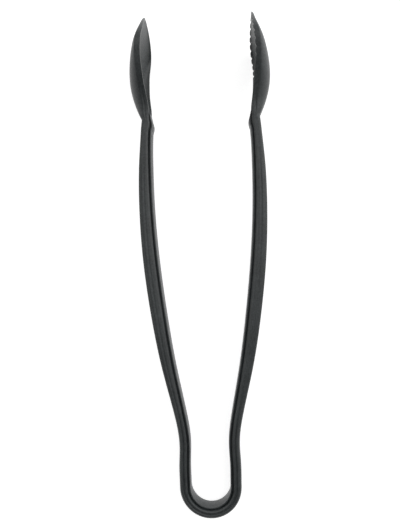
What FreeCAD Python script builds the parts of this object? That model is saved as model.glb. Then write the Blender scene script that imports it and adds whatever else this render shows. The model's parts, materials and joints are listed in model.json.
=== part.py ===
import FreeCAD, Part
import math
import os

# Catering tongs: one plastic moulding with a U-shaped spring bow, two bowed arms and two spoon jaws.
# They are drawn flat in their own plane of symmetry, with x across, y from the bow to the jaws and z
# across the band. At the end they are laid down as they rest on a table: on the jaw rims and the bow.
# The moulding is cut into zones, each a solid of its own: by thin slits at the flex points, where it bends
# in use, and by plain joins where one shape of the band ends and the next begins.

os.makedirs("parts", exist_ok=True)
Vector = FreeCAD.Vector

# Driving dimensions, millimetres.
BAND_WIDTH = 12.6
BOW_CENTRE_Y = 18.0
BOW_RADIUS = 18.65
BOW_THICKNESS = 5.3
PAD_RISE = 1.2
PAD_WIDTH = 10.4
OUTER_ROUNDING = 1.4
NECK_Y = 234.0

# Legs and arms: height up the tongs, half distance to the outer face, half distance to the inner face.
ARM_PROFILE = (
    (30.0, 18.75, 13.45),
    (44.0, 18.30, 13.05),
    (62.0, 21.00, 15.40),
    (90.0, 27.65, 20.80),
    (122.0, 33.40, 25.60),
    (156.0, 37.40, 29.45),
    (190.0, 38.85, 31.60),
    (214.0, 38.25, 31.90),
    (NECK_Y, 36.65, 31.30),
)

# Jaw: height up the tongs, half distance to the rim, half distance to the back, half width of the bowl.
HEEL_SECTIONS = (
    (NECK_Y, 30.2, 36.65, 6.3),
    (238.0, 29.3, 36.25, 6.3),
    (241.0, 30.0, 36.0, 6.6),
)
BOWL_SECTIONS = (
    (241.0, 30.0, 36.0, 6.6),
    (246.5, 30.8, 38.6, 7.1),
    (253.0, 31.7, 40.9, 8.8),
    (260.0, 32.7, 42.5, 11.9),
    (268.0, 33.3, 43.0, 15.7),
    (276.0, 33.5, 42.2, 18.9),
    (284.0, 32.8, 40.2, 20.6),
    (290.5, 32.1, 37.7, 18.4),
    (296.5, 31.9, 35.6, 13.2),
    (301.5, 32.2, 34.5, 7.2),
    (304.5, 32.6, 33.8, 2.4),
)
BOWL_FULLNESS = 2.3
WALL = 2.0
RIM_WALL = 1.5

# Scalloped rim of the right jaw.
SCALLOP_COUNT = 9
SCALLOP_PITCH = 4.5
SCALLOP_RADIUS = 1.6
SCALLOP_DEPTH = 0.6
SCALLOP_START = 5.0

# Cuts on each side. The flex points are at an angle round the bow from its bottom, and at a height up the
# leg. The joins are at the end of the bow and at the end of the waist.
BOW_FLEX_DEG = 45.0
LEG_FLEX_Y = 40.0
FLEX_SLIT = 0.3
JOIN_HEIGHTS = (BOW_CENTRE_Y, 62.0)


def side_curve(column, inset=0.0):
    """The right-hand line of the band above the bow, from the end of the bow to the neck."""
    radius = BOW_RADIUS if column == 1 else BOW_RADIUS - BOW_THICKNESS - inset
    points = [Vector(radius, BOW_CENTRE_Y, 0)]
    points += [Vector(row[column] - inset, row[0], 0) for row in ARM_PROFILE]
    curve = Part.BSplineCurve()
    curve.interpolate(Points=points, InitialTangent=Vector(0, 1, 0), FinalTangent=Vector(-0.075, 1, 0))
    return curve, radius


def band_line(column, inset=0.0):
    """Edges of one line of the U, from the left neck round the bow to the right neck."""
    curve, radius = side_curve(column, inset)
    right = curve.toShape()
    left = right.mirror(Vector(0, 0, 0), Vector(1, 0, 0))
    ends = Vector(-radius, BOW_CENTRE_Y, 0), Vector(radius, BOW_CENTRE_Y, 0)
    arc = Part.Arc(ends[0], Vector(0, BOW_CENTRE_Y - radius, 0), ends[1])
    return [left, arc.toShape(), right]


def band_solid(outer, inner, width):
    """A solid of the given width between two lines of the U."""
    ends = []
    for side in (0, 2):
        top_outer = max((v.Point for v in outer[side].Vertexes), key=lambda p: p.y)
        top_inner = max((v.Point for v in inner[side].Vertexes), key=lambda p: p.y)
        ends.append(Part.makeLine(top_outer, top_inner))
    wire = Part.Wire(Part.__sortEdges__(outer + inner + ends))
    face = Part.Face(wire)
    face.translate(Vector(0, 0, -width / 2))
    return face.extrude(Vector(0, 0, width))


def rounded_outside(solid):
    """The band with its two outer long edges rounded."""
    edges = []
    for edge in solid.Edges:
        middle = edge.valueAt((edge.FirstParameter + edge.LastParameter) / 2)
        on_side = abs(abs(middle.z) - BAND_WIDTH / 2) < 1e-6
        if on_side and outside_gap(middle) < 0.05 and edge.Length > BAND_WIDTH:
            edges.append(edge)
    return solid.makeFillet(OUTER_ROUNDING, edges)


def outside_gap(point):
    """Distance from a point of the band's side to the outer line of the U."""
    flat = Vector(point.x, point.y, 0)
    return min(Part.Vertex(flat).distToShape(edge)[0] for edge in band_line(1))


def centre_frame(y):
    """Middle of the right leg at a height, and the direction of the band there."""
    points = []
    for column in (1, 2):
        curve, _ = side_curve(column)
        level = Part.makeLine(Vector(0, y, 0), Vector(60, y, 0))
        points.append(curve.toShape().distToShape(level)[1][0][0])
    outer = side_curve(1)[0]
    direction = outer.tangent(outer.parameter(points[0]))[0]
    return (points[0] + points[1]) / 2, direction


def flex_frames():
    """Centre and band direction of each flex point of the right side, from the bow upwards."""
    middle_radius = BOW_RADIUS - BOW_THICKNESS / 2
    angle = math.radians(BOW_FLEX_DEG)
    centre = Vector(middle_radius * math.sin(angle), BOW_CENTRE_Y - middle_radius * math.cos(angle), 0)
    return [(centre, Vector(math.cos(angle), math.sin(angle), 0)), centre_frame(LEG_FLEX_Y)]


def cross_face(centre, direction):
    """A flat face across the band, square to it."""
    reach = 3 * BOW_THICKNESS
    corner = Vector(-reach / 2, -BAND_WIDTH, 0)
    face = Part.makePlane(reach, 2 * BAND_WIDTH, corner)
    face.rotate(Vector(0, 0, 0), Vector(1, 0, 0), 90)
    face.rotate(Vector(0, 0, 0), Vector(0, 0, 1), math.degrees(math.atan2(-direction.x, direction.y)))
    face.translate(centre)
    return face


def slit(centre, direction):
    """A thin cutter across the band."""
    return cross_face(centre - direction * FLEX_SLIT / 2, direction).extrude(direction * FLEX_SLIT)


def both_sides(shape):
    """A shape of the right side, and the same on the left."""
    return [shape, shape.mirror(Vector(0, 0, 0), Vector(1, 0, 0))]


def band_zones():
    """The band cut at its flex points and joins: node name to solid."""
    outer = band_line(1)
    inner = band_line(2)
    body = rounded_outside(band_solid(outer, inner, BAND_WIDTH))
    pad = band_solid(inner, band_line(2, PAD_RISE), PAD_WIDTH)
    band = body.fuse(pad).removeSplitter()
    slits = []
    for centre, direction in flex_frames():
        slits += both_sides(slit(centre, direction))
    joins = []
    for height in JOIN_HEIGHTS:
        joins += both_sides(cross_face(centre_frame(height)[0], Vector(0, 1, 0)))
    split, _ = band.cut(slits).generalFuse(joins)
    pieces = sorted(split.Solids, key=lambda piece: piece.CenterOfMass.y)
    zones = {"bow_crown": pieces[0]}
    names = ("bow_quarter", "leg", "waist", "arm")
    for index, name in enumerate(names):
        for piece in pieces[1 + 2 * index:3 + 2 * index]:
            side = "left" if piece.CenterOfMass.x < 0 else "right"
            zones[f"{side}_{name}"] = piece
    return zones


def jaw_section(y, rim, back, half_width, wall=0.0):
    """Closed D-shaped outline at one height: a flat chord along the rim and a full curve over the back."""
    depth = back - rim - wall
    width = half_width - wall * RIM_WALL / WALL
    chord = rim - (1.0 if wall else 0.0)
    power = 2 / BOWL_FULLNESS
    steps = 12
    points = []
    for step in range(steps + 1):
        angle = math.pi * step / steps
        across = -width * math.copysign(abs(math.cos(angle)) ** power, math.cos(angle))
        points.append(Vector(rim + depth * max(math.sin(angle), 0.0) ** power, y, across))
    curve = Part.BSplineCurve()
    curve.interpolate(Points=points)
    edges = [curve.toShape()]
    if wall:
        start = Vector(chord, y, -width)
        end = Vector(chord, y, width)
        edges += [Part.makeLine(points[-1], end), Part.makeLine(end, start), Part.makeLine(start, points[0])]
    else:
        edges.append(Part.makeLine(points[-1], points[0]))
    return Part.Wire(edges)


def smooth_jaw():
    """The right-hand spoon jaw with a plain rim."""
    heel = Part.makeLoft([jaw_section(*row) for row in HEEL_SECTIONS], True)
    bowl = Part.makeLoft([jaw_section(*row) for row in BOWL_SECTIONS], True)
    hollow_rows = [row for row in BOWL_SECTIONS if row[2] - row[1] > 1.6 * WALL and row[3] > 2 * WALL]
    hollow = Part.makeLoft([jaw_section(*row, wall=WALL) for row in hollow_rows], True)
    return heel.fuse(bowl).cut(hollow).removeSplitter()


def rim_curve():
    """The edge of the right jaw's rim, on its upper side, from the tip towards the heel."""
    points = [Vector(row[1], row[0], row[3]) for row in reversed(BOWL_SECTIONS)]
    curve = Part.BSplineCurve()
    curve.interpolate(Points=points)
    return curve


def scallop_cutters():
    """Short cylinders square to the rim line, on both sides of the jaw."""
    curve = rim_curve()
    cutters = []
    for index in range(SCALLOP_COUNT):
        parameter = curve.parameterAtDistance(SCALLOP_START + index * SCALLOP_PITCH)
        point = curve.value(parameter)
        direction = curve.tangent(parameter)[0]
        outward = Vector(0, direction.z, -direction.y).normalize()
        if outward.z < 0:
            outward = -outward
        centre = Vector(point.x - SCALLOP_RADIUS + SCALLOP_DEPTH, point.y, point.z) - outward * 4 * RIM_WALL
        cutter = Part.makeCylinder(SCALLOP_RADIUS, 8 * RIM_WALL, centre, outward)
        cutters += [cutter, cutter.mirror(Vector(0, 0, 0), Vector(0, 0, 1))]
    return cutters


def rest_tilt():
    """Angle that brings the jaw rims and the side of the bow down to one plane, in degrees."""
    bottom = BOW_CENTRE_Y - BOW_RADIUS
    slopes = [math.atan2(row[3] - BAND_WIDTH / 2, row[0] - bottom) for row in BOWL_SECTIONS]
    return math.degrees(max(slopes))


def resting_placement(solids):
    """The move that lays the tongs down, with the origin under the middle of their box."""
    tilt = FreeCAD.Placement(Vector(0, 0, 0), FreeCAD.Rotation(Vector(1, 0, 0), rest_tilt()))
    whole = Part.makeCompound(list(solids))
    whole.Placement = tilt
    box = whole.optimalBoundingBox()
    return FreeCAD.Placement(Vector(-box.Center.x, -box.Center.y, -box.ZMin), FreeCAD.Rotation()) * tilt


def build():
    """Every node in the drawing plane, and the placement that lays the tongs down."""
    nodes = band_zones()
    jaw = smooth_jaw()
    nodes["left_smooth_jaw"] = jaw.mirror(Vector(0, 0, 0), Vector(1, 0, 0))
    nodes["right_scalloped_jaw"] = jaw.cut(scallop_cutters())
    return nodes, resting_placement(nodes.values())


nodes, laid_down = build()
for name, solid in nodes.items():
    solid.Placement = laid_down
    solid.exportStep(f"parts/{name}.step")
    print(name, solid.isValid(), len(solid.Solids), round(solid.Volume, 1))
print("rest tilt", round(rest_tilt(), 4), "placement", laid_down)
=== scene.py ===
import json
import math

import bpy
import numpy as np
from mathutils import Matrix, Vector


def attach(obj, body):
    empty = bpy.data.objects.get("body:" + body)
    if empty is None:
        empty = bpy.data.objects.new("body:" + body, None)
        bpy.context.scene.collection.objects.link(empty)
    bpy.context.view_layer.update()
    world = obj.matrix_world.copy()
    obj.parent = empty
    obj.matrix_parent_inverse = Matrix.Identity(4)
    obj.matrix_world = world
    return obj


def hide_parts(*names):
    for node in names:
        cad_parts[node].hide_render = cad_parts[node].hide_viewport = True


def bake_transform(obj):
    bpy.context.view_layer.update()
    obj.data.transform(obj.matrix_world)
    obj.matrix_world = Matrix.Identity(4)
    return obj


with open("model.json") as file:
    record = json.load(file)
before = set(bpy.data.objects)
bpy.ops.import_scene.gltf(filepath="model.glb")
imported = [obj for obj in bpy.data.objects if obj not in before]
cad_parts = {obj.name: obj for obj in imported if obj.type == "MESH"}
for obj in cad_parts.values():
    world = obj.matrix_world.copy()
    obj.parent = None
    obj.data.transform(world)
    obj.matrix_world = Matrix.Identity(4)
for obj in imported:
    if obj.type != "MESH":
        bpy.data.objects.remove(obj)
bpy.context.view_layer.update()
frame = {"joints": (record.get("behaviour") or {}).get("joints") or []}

# Kitchen tongs: one plastic moulding. Its surface is built in the tongs' own plane, in millimetres, with x
# across, y from the bow to the jaws and z across the band, and is then laid down on the frame's joints.
# The moulding is shown as skins that meet end to end. The bow halves and the legs keep the shape they are
# built in; the long arms and the jaws follow the arm bodies.
MM = 0.001

# The band of the bow and the arms.
BAND_HALF = 6.3
BOW_CENTRE_Y = 18.0
BOW_RADIUS = 18.65
BOW_THICKNESS = 5.3
BOW_FLEX_DEG = 45.0
PAD_RISE = 1.2
PAD_HALF = 5.2
NECK_Y = 234.0
NOTCH_Y = 241.0
TIP_Y = 304.48

# Height, half distance to the outer face, half distance to the inner face.
ARM_PROFILE = (
    (BOW_CENTRE_Y, BOW_RADIUS, BOW_RADIUS - BOW_THICKNESS),
    (30.0, 18.75, 13.45),
    (44.0, 18.30, 13.05),
    (62.0, 21.00, 15.40),
    (90.0, 27.65, 20.80),
    (122.0, 33.40, 25.60),
    (156.0, 37.40, 29.45),
    (190.0, 38.85, 31.60),
    (214.0, 38.25, 31.90),
    (NECK_Y, 36.65, 31.30),
)

# Height, half distance to the rim, half distance to the back, half width.
HEEL_SECTIONS = (
    (NECK_Y, 30.1, 36.65, 6.3),
    (238.0, 29.3, 36.25, 6.3),
    (NOTCH_Y, 30.0, 36.0, 6.6),
)
BOWL_SECTIONS = (
    (NOTCH_Y, 30.0, 36.0, 6.6),
    (246.5, 30.8, 38.6, 7.1),
    (253.0, 31.7, 40.9, 8.8),
    (260.0, 32.7, 42.5, 11.9),
    (268.0, 33.3, 43.0, 15.7),
    (276.0, 33.5, 42.2, 18.9),
    (284.0, 32.8, 40.2, 20.6),
    (290.5, 32.1, 37.7, 18.4),
    (296.5, 31.9, 35.6, 13.2),
    (301.5, 32.2, 34.5, 7.2),
    (TIP_Y, 32.6, 33.8, 2.4),
)
WALL = 2.0
RIM_WALL = 1.5
RIM_SIDE = 3.2
BACK_TURN = math.radians(68.0)
BACK_INSET = 0.06
RIM_LIP = 0.32
BACK_BLUNTNESS = 0.96
HOLLOW_BLUNTNESS = 0.9
HEEL_GROOVE = 0.5
HEEL_GROOVE_PLACE = (0.35, 0.16)

# The heights over which one shape turns into the next.
LEG_TO_ARM = (50.0, 84.0)
RIBS_FADE = (200.0, 228.0)
BAND_TO_BOWL = (236.0, 251.0)
HOLLOW_DEEPENS = (241.0, 257.0)
GROOVE_STARTS = (238.0, 242.0)
GROOVE_FADES = (248.0, 264.0)

# Scalloped rim of the right jaw, measured along the rim from the tip.
SCALLOP_COUNT = 9
SCALLOP_PITCH = 4.5
SCALLOP_RADIUS = 1.6
SCALLOP_DEPTH = 0.55
SCALLOP_START = 5.0

# The skins: where they meet, and the two sides.
BOW_SEAM_Y = 21.0
ARM_SEAM_Y = 62.0
SIDES = {"left": -1, "right": 1}

# Distances between the stations along the skins. Round the bow it is an angle in radians.
SEAM_STEP = 0.04
BOW_STEP = 0.035
SHOULDER_STEP = 0.8
LEG_STEP = 1.2
ARM_STEP = 1.6
HEEL_STEP = 0.5
RIM_STEP = 0.42


# ---------------------------------------------------------------- shape helpers

def smooth_curve(rows, column, start_slope=None, end_slope=None):
    """A cubic spline through one column of the rows, as a function of the height."""
    x = np.array([row[0] for row in rows])
    y = np.array([row[column] for row in rows])
    step = np.diff(x)
    slope = np.diff(y) / step
    count = len(x)
    system = np.zeros((count, count))
    right = np.zeros(count)
    for i in range(1, count - 1):
        system[i, i - 1:i + 2] = (step[i], 2 * (step[i - 1] + step[i]), step[i - 1])
        right[i] = 3 * (step[i] * slope[i - 1] + step[i - 1] * slope[i])
    for i, j, given, nearest in ((0, 1, start_slope, 0), (-1, -2, end_slope, -1)):
        system[i, i] = 1.0 if given is not None else 2.0
        system[i, j] = 0.0 if given is not None else 1.0
        right[i] = given if given is not None else 3 * slope[nearest]
    tangent = np.linalg.solve(system, right)

    def value(at):
        i = int(np.clip(np.searchsorted(x, at) - 1, 0, count - 2))
        t = (at - x[i]) / step[i]
        a, b = y[i], y[i + 1]
        m, n = tangent[i] * step[i], tangent[i + 1] * step[i]
        return (a * (2 * t**3 - 3 * t**2 + 1) + m * (t**3 - 2 * t**2 + t)
                + b * (3 * t**2 - 2 * t**3) + n * (t**3 - t**2))

    return value


def smoothstep(low, high, value):
    """0 up to the low value, 1 from the high value, and a smooth rise between them."""
    t = np.clip((value - low) / (high - low), 0.0, 1.0)
    return t * t * (3 - 2 * t)


def bell(value, middle, width):
    """1 at the middle, falling to nothing in about two widths on either side."""
    return np.exp(-(((value - middle) / width) ** 2))


outer_line = smooth_curve(ARM_PROFILE, 1, 0.0, -0.075)
inner_line = smooth_curve(ARM_PROFILE, 2, 0.0, -0.075)
heel_lines = [smooth_curve(HEEL_SECTIONS, column) for column in (1, 2, 3)]
bowl_lines = [smooth_curve(BOWL_SECTIONS, column) for column in (1, 2, 3)]


# ---------------------------------------------------------------- sections

# A half section runs from the middle of the outer face, over the edge, to the middle of the inner face.
# Its points fall in runs of fixed length, so that a band section can turn into a bowl section.
OUTER_POINTS = 11
FACE_POINTS = 16
SIDE_POINTS = 11
LIP_POINTS = 8
INNER_POINTS = 13
OUTER_CROWN = 0.12
CORNER = 1.4
BOW_CORNER_EXTRA = 0.7
CREASE_INSET = 0.4
CREASE_DEPTH = 1.4
PAD_SIDE_INSET = 0.06
PAD_CORNER = 0.45
PAD_CROWN = 0.3

# The edge faces: how far they are sunk on the arm, how much further between the arm's ribs, and how far on
# the leg. A rib or a groove is its height or depth, its place and its width, the last two as shares of the
# band's thickness.
ARM_SINK = 0.12
RIB_SINK = 0.22
LEG_SINK = 0.05
EDGE_RIBS = ((0.14, 0.10, 0.06), (0.32, 0.36, 0.09), (0.24, 0.62, 0.09))
LEG_GROOVE = (0.55, 0.52, 0.07)


def edge_relief(share, arm, ribs):
    """How far the moulded edge face lies below its nominal plane, at a share of the band's thickness."""
    rib_relief = RIB_SINK
    for height, at, width in EDGE_RIBS:
        rib_relief -= height * bell(share, at, width)
    depth, at, width = LEG_GROOVE
    leg_relief = LEG_SINK + depth * bell(share, at, width)
    return arm * (ARM_SINK + ribs * rib_relief) + (1 - arm) * leg_relief


def band_half_section(thickness, half_width, arm, ribs):
    """Half section of the band: depth below the outer face, and distance from the middle plane."""
    radius = CORNER + (1 - arm) * BOW_CORNER_EXTRA
    flat = half_width - radius
    outer_across = np.linspace(0.0, flat, OUTER_POINTS - 5)[:-1]
    round_corner = np.linspace(0.0, math.pi / 2, 6)
    outer = [(OUTER_CROWN * (z / flat) ** 2, z) for z in outer_across]
    corner = [(OUTER_CROWN + radius * (1 - math.cos(a)), flat + radius * math.sin(a))
              for a in round_corner]
    start_drop = edge_relief((radius + OUTER_CROWN) / thickness, arm, ribs)
    corner = [(t, z - start_drop * smoothstep(flat, half_width, z)) for t, z in corner]

    # The edge face, and the deep crease between it and the inner pad.
    slope = 0.65 + 0.5 * arm
    crease = thickness - CREASE_INSET
    face = []
    for t in np.linspace(radius + OUTER_CROWN, crease - slope - 0.15, FACE_POINTS + 1)[1:]:
        face.append((t, half_width - edge_relief(t / thickness, arm, ribs)))
    top = face[-1][1]
    lip = (
        (crease - slope, top - 0.02),
        (crease - 0.6 * slope, top - 0.14),
        (crease - 0.25 * slope, top - 0.45),
        (crease, top - 0.90),
        (crease + 0.04, PAD_HALF - 0.5),
        (crease + 0.18, PAD_HALF - CREASE_DEPTH),
        (thickness + 0.08, PAD_HALF - CREASE_DEPTH),
        (thickness + 0.18, PAD_HALF - 0.4),
    )

    pad_top = thickness + PAD_RISE
    pad_side = PAD_HALF - PAD_SIDE_INSET
    pad = []
    for a in np.linspace(0.0, math.pi / 2, 6):
        pad.append((pad_top - PAD_CORNER * (1 - math.sin(a)), pad_side - PAD_CORNER * (1 - math.cos(a))))
    inner_across = np.linspace(pad_side - PAD_CORNER, 0.0, INNER_POINTS - 5)[1:]
    edge = inner_across[0]
    pad += [(pad_top + PAD_CROWN * (1 - (z / edge) ** 2), z) for z in inner_across]
    return np.array(outer + corner + face + list(lip) + pad)


def bowl_half_section(depth, half_width, hollow, cut, groove):
    """Half section of the bowl: depth below the back, and distance from the middle plane."""
    side = min(RIM_SIDE, 0.45 * depth)
    belly = depth - side
    back_points = OUTER_POINTS + FACE_POINTS - SIDE_POINTS
    points = []
    for a in np.linspace(0.0, BACK_TURN, back_points + 1)[:-1]:
        share = (1 - math.cos(a)) / (1 - math.cos(BACK_TURN))
        across = half_width * (math.sin(a) / math.sin(BACK_TURN)) ** BACK_BLUNTNESS
        points.append((BACK_INSET + (belly - BACK_INSET) * share, across))
    lip = min(RIM_LIP, 0.2 * depth)
    rim = depth - cut
    for share, t in zip(np.linspace(0.0, 1.0, SIDE_POINTS), np.linspace(belly, rim - lip, SIDE_POINTS)):
        points.append((t, half_width - groove * bell(share, *HEEL_GROOVE_PLACE)))
    wall = min(RIM_WALL, 0.45 * half_width)
    for a in np.linspace(0.0, math.pi / 2, LIP_POINTS // 2 + 1)[1:]:
        points.append((rim - lip * (1 - math.sin(a)), half_width - lip * (1 - math.cos(a))))
    for a in np.linspace(math.pi / 2, 0.0, LIP_POINTS // 2 + 1)[1:]:
        points.append((rim - lip * (1 - math.sin(a)), half_width - wall + lip * (1 - math.cos(a))))
    inside = half_width - wall
    reach = max(depth - WALL, 0.0) * hollow
    for a in np.linspace(0.0, math.pi / 2, INNER_POINTS + 1)[1:]:
        t = depth - reach * math.sin(a) ** HOLLOW_BLUNTNESS
        points.append((min(t, rim - lip * hollow * (1 - a / (math.pi / 2))), inside * math.cos(a)))
    return np.array(points)


def full_ring(half, place):
    """All points of a section, right way round, put in place."""
    mirrored = [(t, -z) for t, z in half[-2:0:-1]]
    return [place(t, z) for t, z in list(half) + mirrored]


def bow_ring(angle):
    """The band's section at an angle round the bow from its bottom."""

    def place(t, z):
        radius = BOW_RADIUS - t
        return (radius * math.sin(angle), BOW_CENTRE_Y - radius * math.cos(angle), z)

    return full_ring(band_half_section(BOW_THICKNESS, BAND_HALF, 0.0, 0.0), place)


def arm_ring(y):
    """The band's section at a height up the leg or the arm."""
    outer = outer_line(y)
    arm = smoothstep(*LEG_TO_ARM, y)
    ribs = 1 - smoothstep(*RIBS_FADE, y)
    half = band_half_section(outer - inner_line(y), BAND_HALF, arm, ribs)
    return full_ring(half, lambda t, z: (outer - t, y, z))


def jaw_ring(y, cut):
    """The jaw's section at a height: the band's own at the neck, turning into the bowl's."""
    lines = heel_lines if y < NOTCH_Y else bowl_lines
    rim, back, half_width = (line(y) for line in lines)
    turned = smoothstep(*BAND_TO_BOWL, y)
    hollow = smoothstep(*HOLLOW_DEEPENS, y)
    depth = back - rim
    groove = HEEL_GROOVE * smoothstep(*GROOVE_STARTS, y) * (1 - smoothstep(*GROOVE_FADES, y))
    bowl = bowl_half_section(depth, half_width, hollow, cut, groove)
    if turned < 1:
        band = band_half_section(max(depth - PAD_RISE, 2.6), max(half_width, BAND_HALF), 1.0, 0.0)
        bowl = turned * bowl + (1 - turned) * band
    return full_ring(bowl, lambda t, z: (back - t, y, z))


# ---------------------------------------------------------------- stations

def evenly(start, end, step):
    """Places from the start to the end, no more than a step apart."""
    count = max(2, int(math.ceil(abs(end - start) / step)) + 1)
    return list(np.linspace(start, end, count))


def with_seams(heights):
    """The same stations, with a very short step at both ends, so that skins that meet shade alike."""
    return [heights[0], heights[0] + SEAM_STEP] + heights[1:-1] + [heights[-1] - SEAM_STEP, heights[-1]]


def jaw_stations():
    """Heights from the neck to the tip, close together along the rim, and the rim's length from the tip
    at each. The heel has no scallops, so its lengths are put far beyond them."""
    fine = np.linspace(NOTCH_Y, TIP_Y, 1200)
    points = np.array([(bowl_lines[0](h), h, bowl_lines[2](h)) for h in fine])
    along = np.concatenate([[0.0], np.cumsum(np.linalg.norm(np.diff(points, axis=0), axis=1))])
    count = int(along[-1] / RIM_STEP) + 1
    wanted = np.linspace(0.0, along[-1], count)
    heights = np.interp(wanted, along, fine)
    from_tip = along[-1] - wanted
    heel = evenly(NECK_Y, NOTCH_Y, HEEL_STEP)[:-1]
    heel = [heel[0], heel[0] + SEAM_STEP] + heel[1:]
    beyond = 1000.0
    return heel + list(heights), [beyond] * len(heel) + list(from_tip)


def scallop_cut(from_tip):
    """How far the rim is cut back at a length along it from the tip."""
    cut = 0.0
    for index in range(SCALLOP_COUNT):
        away = abs(from_tip - SCALLOP_START - index * SCALLOP_PITCH)
        if away < SCALLOP_RADIUS:
            cut = max(cut, math.sqrt(SCALLOP_RADIUS**2 - away**2) - SCALLOP_RADIUS + SCALLOP_DEPTH)
    return cut


# ---------------------------------------------------------------- from the tongs' plane to the frame

joints = {joint["name"]: joint for joint in frame["joints"]}
flex_angle = math.radians(BOW_FLEX_DEG)
middle_radius = BOW_RADIUS - BOW_THICKNESS / 2
bow_bend = joints["right_bow_bend"]
tilt = math.atan2(-bow_bend["axis"][1], bow_bend["axis"][2])
turn = Matrix.Rotation(tilt, 3, "X")
flex_x = middle_radius * math.sin(flex_angle)
flex_y = BOW_CENTRE_Y - middle_radius * math.cos(flex_angle)
flex_point = Vector((flex_x, flex_y, 0))
shift = Vector(bow_bend["pos_m"]) - turn @ (flex_point * MM)


def laid(point):
    """A point of the tongs' plane, in millimetres, in the frame, in metres."""
    return turn @ (Vector(point) * MM) + shift


# ---------------------------------------------------------------- material

# The plastic's own colour, from dark to light, and the lighter colour of a highlight painted along the
# edges and the jaws' rims.
DARK_PLASTIC = (0.0115, 0.0138, 0.0146, 1)
LIGHT_PLASTIC = (0.0390, 0.0450, 0.0465, 1)
HIGHLIGHT_PLASTIC = (0.075, 0.078, 0.076, 1)
HIGHLIGHT_STRENGTH = 0.6
GLOSS_RANGE = (0.36, 0.46)
GLOSS_DRIFT = (-0.03, 0.03)
GRAIN_STRENGTH = 0.5
GRAIN_HEIGHT = 0.00012
REFRACTION = 1.43


def plastic_material():
    """Near-black moulded plastic: fine grain, slightly uneven gloss, and a painted highlight that makes
    the edges a little lighter.
    """
    material = bpy.data.materials.new("moulded_black_plastic")
    material.use_nodes = True
    nodes, links = material.node_tree.nodes, material.node_tree.links
    shader = nodes["Principled BSDF"]
    place = nodes.new("ShaderNodeTexCoord")

    def noise(scale, detail, roughness=0.5):
        node = nodes.new("ShaderNodeTexNoise")
        node.inputs["Scale"].default_value = scale
        node.inputs["Detail"].default_value = detail
        node.inputs["Roughness"].default_value = roughness
        links.new(place.outputs["Object"], node.inputs["Vector"])
        return node.outputs["Fac"]

    def spread(value, low, high):
        """The middle stretch of a noise, spread from low to high."""
        node = nodes.new("ShaderNodeMapRange")
        node.inputs["From Min"].default_value = 0.3
        node.inputs["From Max"].default_value = 0.7
        node.inputs["To Min"].default_value = low
        node.inputs["To Max"].default_value = high
        links.new(value, node.inputs["Value"])
        return node.outputs["Result"]

    def maths(kind, first, second):
        node = nodes.new("ShaderNodeMath")
        node.operation = kind
        for socket, value in zip(node.inputs, (first, second)):
            if isinstance(value, (int, float)):
                socket.default_value = value
            else:
                links.new(value, socket)
        return node.outputs[0]

    # Painted highlight: the edges and the jaws' rims are made lighter, in patches, where light would catch
    # them.
    painted_highlight = nodes.new("ShaderNodeAttribute")
    painted_highlight.attribute_name = "painted_highlight"
    painted_highlight_amount = maths("MULTIPLY", painted_highlight.outputs["Fac"], spread(noise(420.0, 3.0), 0.25, 1.0))

    colour = nodes.new("ShaderNodeMix")
    colour.data_type = "RGBA"
    colour.inputs["A"].default_value = DARK_PLASTIC
    colour.inputs["B"].default_value = LIGHT_PLASTIC
    mottle = maths("ADD", spread(noise(60.0, 4.0), 0.0, 0.35), spread(noise(1000.0, 2.0), 0.0, 0.65))
    links.new(mottle, colour.inputs["Factor"])
    highlighted_colour = nodes.new("ShaderNodeMix")
    highlighted_colour.data_type = "RGBA"
    highlighted_colour.inputs["B"].default_value = HIGHLIGHT_PLASTIC
    links.new(colour.outputs["Result"], highlighted_colour.inputs["A"])
    links.new(maths("MULTIPLY", painted_highlight_amount, HIGHLIGHT_STRENGTH), highlighted_colour.inputs["Factor"])
    links.new(highlighted_colour.outputs["Result"], shader.inputs["Base Color"])

    gloss = maths("ADD", spread(noise(900.0, 2.0), *GLOSS_RANGE), spread(noise(45.0, 3.0), *GLOSS_DRIFT))
    links.new(gloss, shader.inputs["Roughness"])

    grain = maths("ADD", noise(2600.0, 2.0, 0.6), maths("MULTIPLY", noise(700.0, 2.0), 0.8))
    bump = nodes.new("ShaderNodeBump")
    bump.inputs["Strength"].default_value = GRAIN_STRENGTH
    bump.inputs["Distance"].default_value = GRAIN_HEIGHT
    links.new(grain, bump.inputs["Height"])
    links.new(bump.outputs["Normal"], shader.inputs["Normal"])
    shader.inputs["IOR"].default_value = REFRACTION
    return material


plastic = plastic_material()


# ---------------------------------------------------------------- skins

HALF_COUNT = OUTER_POINTS + FACE_POINTS + LIP_POINTS + INNER_POINTS


def highlight_weights(jaw):
    """How much painted highlight each point of a ring gets: the ridges of the edge face, or the rim of a
    jaw.
    """
    index = np.arange(HALF_COUNT)
    if jaw:
        half = bell(index, OUTER_POINTS + FACE_POINTS + LIP_POINTS / 2 - 0.5, 3.0)
    else:
        half = 0.5 * bell(index, 8.0, 2.0) + 0.6 * bell(index, OUTER_POINTS + FACE_POINTS + 0.5, 1.5)
    return np.concatenate([half, half[-2:0:-1]])


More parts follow.
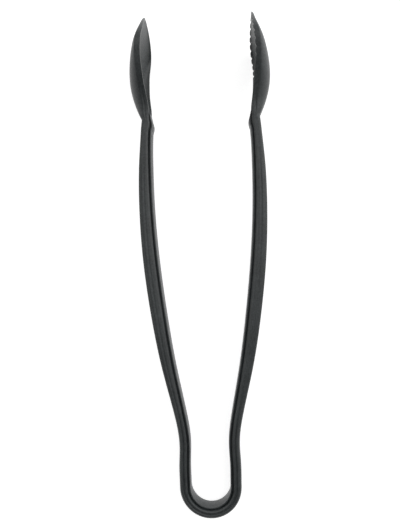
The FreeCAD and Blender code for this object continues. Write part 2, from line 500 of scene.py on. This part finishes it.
def skin(name, rings, painted_highlight, side, closed_end=False):
    """A mesh through rings of points, closed at both ends. The left side is mirrored."""
    count = len(rings[0])
    vertices = [laid((side * x, y, z)) for ring in rings for x, y, z in ring]
    faces = []
    for row in range(len(rings) - 1):
        for i in range(count):
            j = (i + 1) % count
            a, b = row * count + i, row * count + j
            faces.append((a, b, b + count, a + count))
    last = (len(rings) - 1) * count
    faces.append(tuple(range(count))[::-1])
    faces.append(tuple(last + i for i in range(count)))
    if side > 0:
        faces = [face[::-1] for face in faces]
    mesh = bpy.data.meshes.new(name)
    mesh.from_pydata([tuple(v) for v in vertices], [], faces)
    mesh.validate()
    sharp = set()
    ends = (0,) if closed_end else (0, last)
    for start in ends:
        for i in range(count):
            sharp.add(frozenset((start + i, start + (i + 1) % count)))
    for edge in mesh.edges:
        edge.use_edge_sharp = frozenset(edge.vertices) in sharp
    for polygon in mesh.polygons:
        polygon.use_smooth = True
    # The share of painted highlight at each point, which the material uses to lighten the plastic.
    attribute = mesh.attributes.new("painted_highlight", "FLOAT", "POINT")
    attribute.data.foreach_set("value", np.tile(painted_highlight, len(rings)).astype(np.float32))
    mesh.materials.append(plastic)
    piece = bpy.data.objects.new(name, mesh)
    bpy.context.scene.collection.objects.link(piece)
    return piece


def bow_half(name, sign):
    """Half of the bow, and the start of the leg, where the band bends, as one skin fixed in its built
    shape.
    """
    angles = [0.0, SEAM_STEP / BOW_RADIUS] + evenly(0.0, math.pi / 2, BOW_STEP)[1:]
    rings = [bow_ring(angle) for angle in angles]
    heights = evenly(BOW_CENTRE_Y, BOW_SEAM_Y, SHOULDER_STEP)[1:]
    rings += [arm_ring(y) for y in heights[:-1] + [heights[-1] - SEAM_STEP, heights[-1]]]
    piece = skin(f"{name}_bow_half", rings, highlight_weights(False), sign)
    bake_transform(piece)
    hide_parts("bow_crown", f"{name}_bow_quarter")


def spring_leg(name, sign):
    """The narrow leg above the bow, where the band bends between the leg and the arm, as one skin fixed in
    its built shape.
    """
    heights = with_seams(evenly(BOW_SEAM_Y, ARM_SEAM_Y, LEG_STEP))
    piece = skin(f"{name}_spring_leg", [arm_ring(y) for y in heights], highlight_weights(False), sign)
    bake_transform(piece)
    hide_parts(f"{name}_leg", f"{name}_waist")


def long_arm(name, sign):
    """The long bowed arm, which keeps its shape."""
    heights = with_seams(evenly(ARM_SEAM_Y, NECK_Y, ARM_STEP))
    piece = skin(f"{name}_long_arm", [arm_ring(y) for y in heights], highlight_weights(False), sign)
    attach(piece, f"{name}_arm_body")
    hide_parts(f"{name}_arm")


def spoon_jaw(name, sign, scalloped):
    """The heel and the bowl of one jaw, with a plain or a scalloped rim."""
    heights, lengths = jaw_stations()
    rings = [jaw_ring(y, scallop_cut(s) if scalloped else 0.0) for y, s in zip(heights, lengths)]
    piece = skin(f"{name}_spoon_jaw", rings, highlight_weights(True), sign, closed_end=True)
    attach(piece, f"{name}_arm_body")
    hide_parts(f"{name}_scalloped_jaw" if scalloped else f"{name}_smooth_jaw")


for side_name, sign in SIDES.items():
    bow_half(side_name, sign)
    spring_leg(side_name, sign)
    long_arm(side_name, sign)
    spoon_jaw(side_name, sign, scalloped=side_name == "right")


# ---------------------------------------------------------------- camera

VIEW_POINT = (15.8, 147.8, 314.6)
VIEW_TARGET = (-3.0, 151.3, 0.0)
VIEW_ROLL_DEG = 1.6
LENS = 34.9


def add_camera():
    """Looks down at the tongs' plane from a little to the right, with the jaws leaning to the left."""
    roll = math.radians(VIEW_ROLL_DEG)
    back = (laid(VIEW_POINT) - laid(VIEW_TARGET)).normalized()
    upward = turn @ Vector((math.sin(roll), math.cos(roll), 0.0))
    right = upward.cross(back).normalized()
    matrix = Matrix((right, back.cross(right), back)).transposed().to_4x4()
    matrix.translation = laid(VIEW_POINT)
    data = bpy.data.cameras.new("camera")
    data.lens = LENS
    data.clip_start, data.clip_end = 0.01, 20.0
    camera = bpy.data.objects.new("camera", data)
    bpy.context.scene.collection.objects.link(camera)
    camera.matrix_world = matrix
    bpy.context.scene.camera = camera


add_camera()


# ---------------------------------------------------------------- studio

# The sky, as shares of the light low down: half way up, and overhead. Then shares across, from the left to
# the right, and along, from the bow's end to the jaws' end. The backdrop is a pale band all round, at and
# just above the level of the table. The table gives off light of its own, so that it looks white.
HALF_WAY_LIGHT = 0.5
OVERHEAD_LIGHT = 1.4
ACROSS_LIGHT = (1.35, 1.3)
ALONG_LIGHT = (0.05, 1.05)
BACKDROP_LIGHT = 1.05
FLOOR_COLOUR = 0.5
FLOOR_GLOW = 0.76
FLOOR_HALF_SIZE = 9.0
KEY_PLACE = (0.75, 0.45, 0.65)
KEY_SIZE = 0.9
KEY_POWER = 5.0


def add_floor():
    """A plain pale table top."""
    far = FLOOR_HALF_SIZE
    mesh = bpy.data.meshes.new("floor")
    corners = [(-far, -far, 0), (far, -far, 0), (far, far, 0), (-far, far, 0)]
    mesh.from_pydata(corners, [], [(0, 1, 2, 3)])
    material = bpy.data.materials.new("pale_table")
    material.use_nodes = True
    shader = material.node_tree.nodes["Principled BSDF"]
    shader.inputs["Base Color"].default_value = (FLOOR_COLOUR, FLOOR_COLOUR, FLOOR_COLOUR, 1)
    shader.inputs["Roughness"].default_value = 0.9
    shader.inputs["Emission Color"].default_value = (1, 1, 1, 1)
    shader.inputs["Emission Strength"].default_value = FLOOR_GLOW
    mesh.materials.append(material)
    floor = bpy.data.objects.new("floor", mesh)
    bpy.context.scene.collection.objects.link(floor)


def area_light(name, at, size, power):
    """A square soft box that faces the middle of the tongs."""
    middle = Vector((0.0, 0.0, 0.01))
    data = bpy.data.lights.new(name, "AREA")
    data.size = size
    data.energy = power
    light = bpy.data.objects.new(name, data)
    light.location = at
    light.rotation_mode = "QUATERNION"
    light.rotation_quaternion = (middle - Vector(at)).to_track_quat("-Z", "Y")
    bpy.context.scene.collection.objects.link(light)


def add_world():
    """A soft studio: a pale backdrop all round, a bright top, and less light from the bow's end."""
    world = bpy.data.worlds.new("studio")
    world.use_nodes = True
    nodes, links = world.node_tree.nodes, world.node_tree.links
    place = nodes.new("ShaderNodeTexCoord")
    split = nodes.new("ShaderNodeSeparateXYZ")
    links.new(place.outputs["Generated"], split.inputs[0])

    def spread(value, from_low, from_high, low, high):
        node = nodes.new("ShaderNodeMapRange")
        node.interpolation_type = "SMOOTHSTEP"
        node.inputs["From Min"].default_value = from_low
        node.inputs["From Max"].default_value = from_high
        node.inputs["To Min"].default_value = low
        node.inputs["To Max"].default_value = high
        links.new(value, node.inputs["Value"])
        return node.outputs["Result"]

    def joined(first, second, kind="MULTIPLY"):
        node = nodes.new("ShaderNodeMath")
        node.operation = kind
        links.new(first, node.inputs[0])
        links.new(second, node.inputs[1])
        return node.outputs[0]

    rising = spread(split.outputs["Z"], 0.15, 0.6, 1.0, HALF_WAY_LIGHT)
    overhead = joined(rising, spread(split.outputs["Z"], 0.8, 0.98, 1.0, OVERHEAD_LIGHT / HALF_WAY_LIGHT))
    across = spread(split.outputs["X"], -0.7, 0.7, *ACROSS_LIGHT)
    along = spread(split.outputs["Y"], -0.6, 0.3, *ALONG_LIGHT)
    backdrop = spread(split.outputs["Z"], 0.06, 0.3, BACKDROP_LIGHT, 0.0)
    strength = joined(joined(joined(overhead, across), along), backdrop, "MAXIMUM")
    nodes["Background"].inputs["Color"].default_value = (1, 1, 1, 1)
    links.new(strength, nodes["Background"].inputs["Strength"])
    bpy.context.scene.world = world


add_floor()
add_world()
area_light("key", KEY_PLACE, KEY_SIZE, KEY_POWER)
bpy.context.scene.view_settings.view_transform = "Standard"
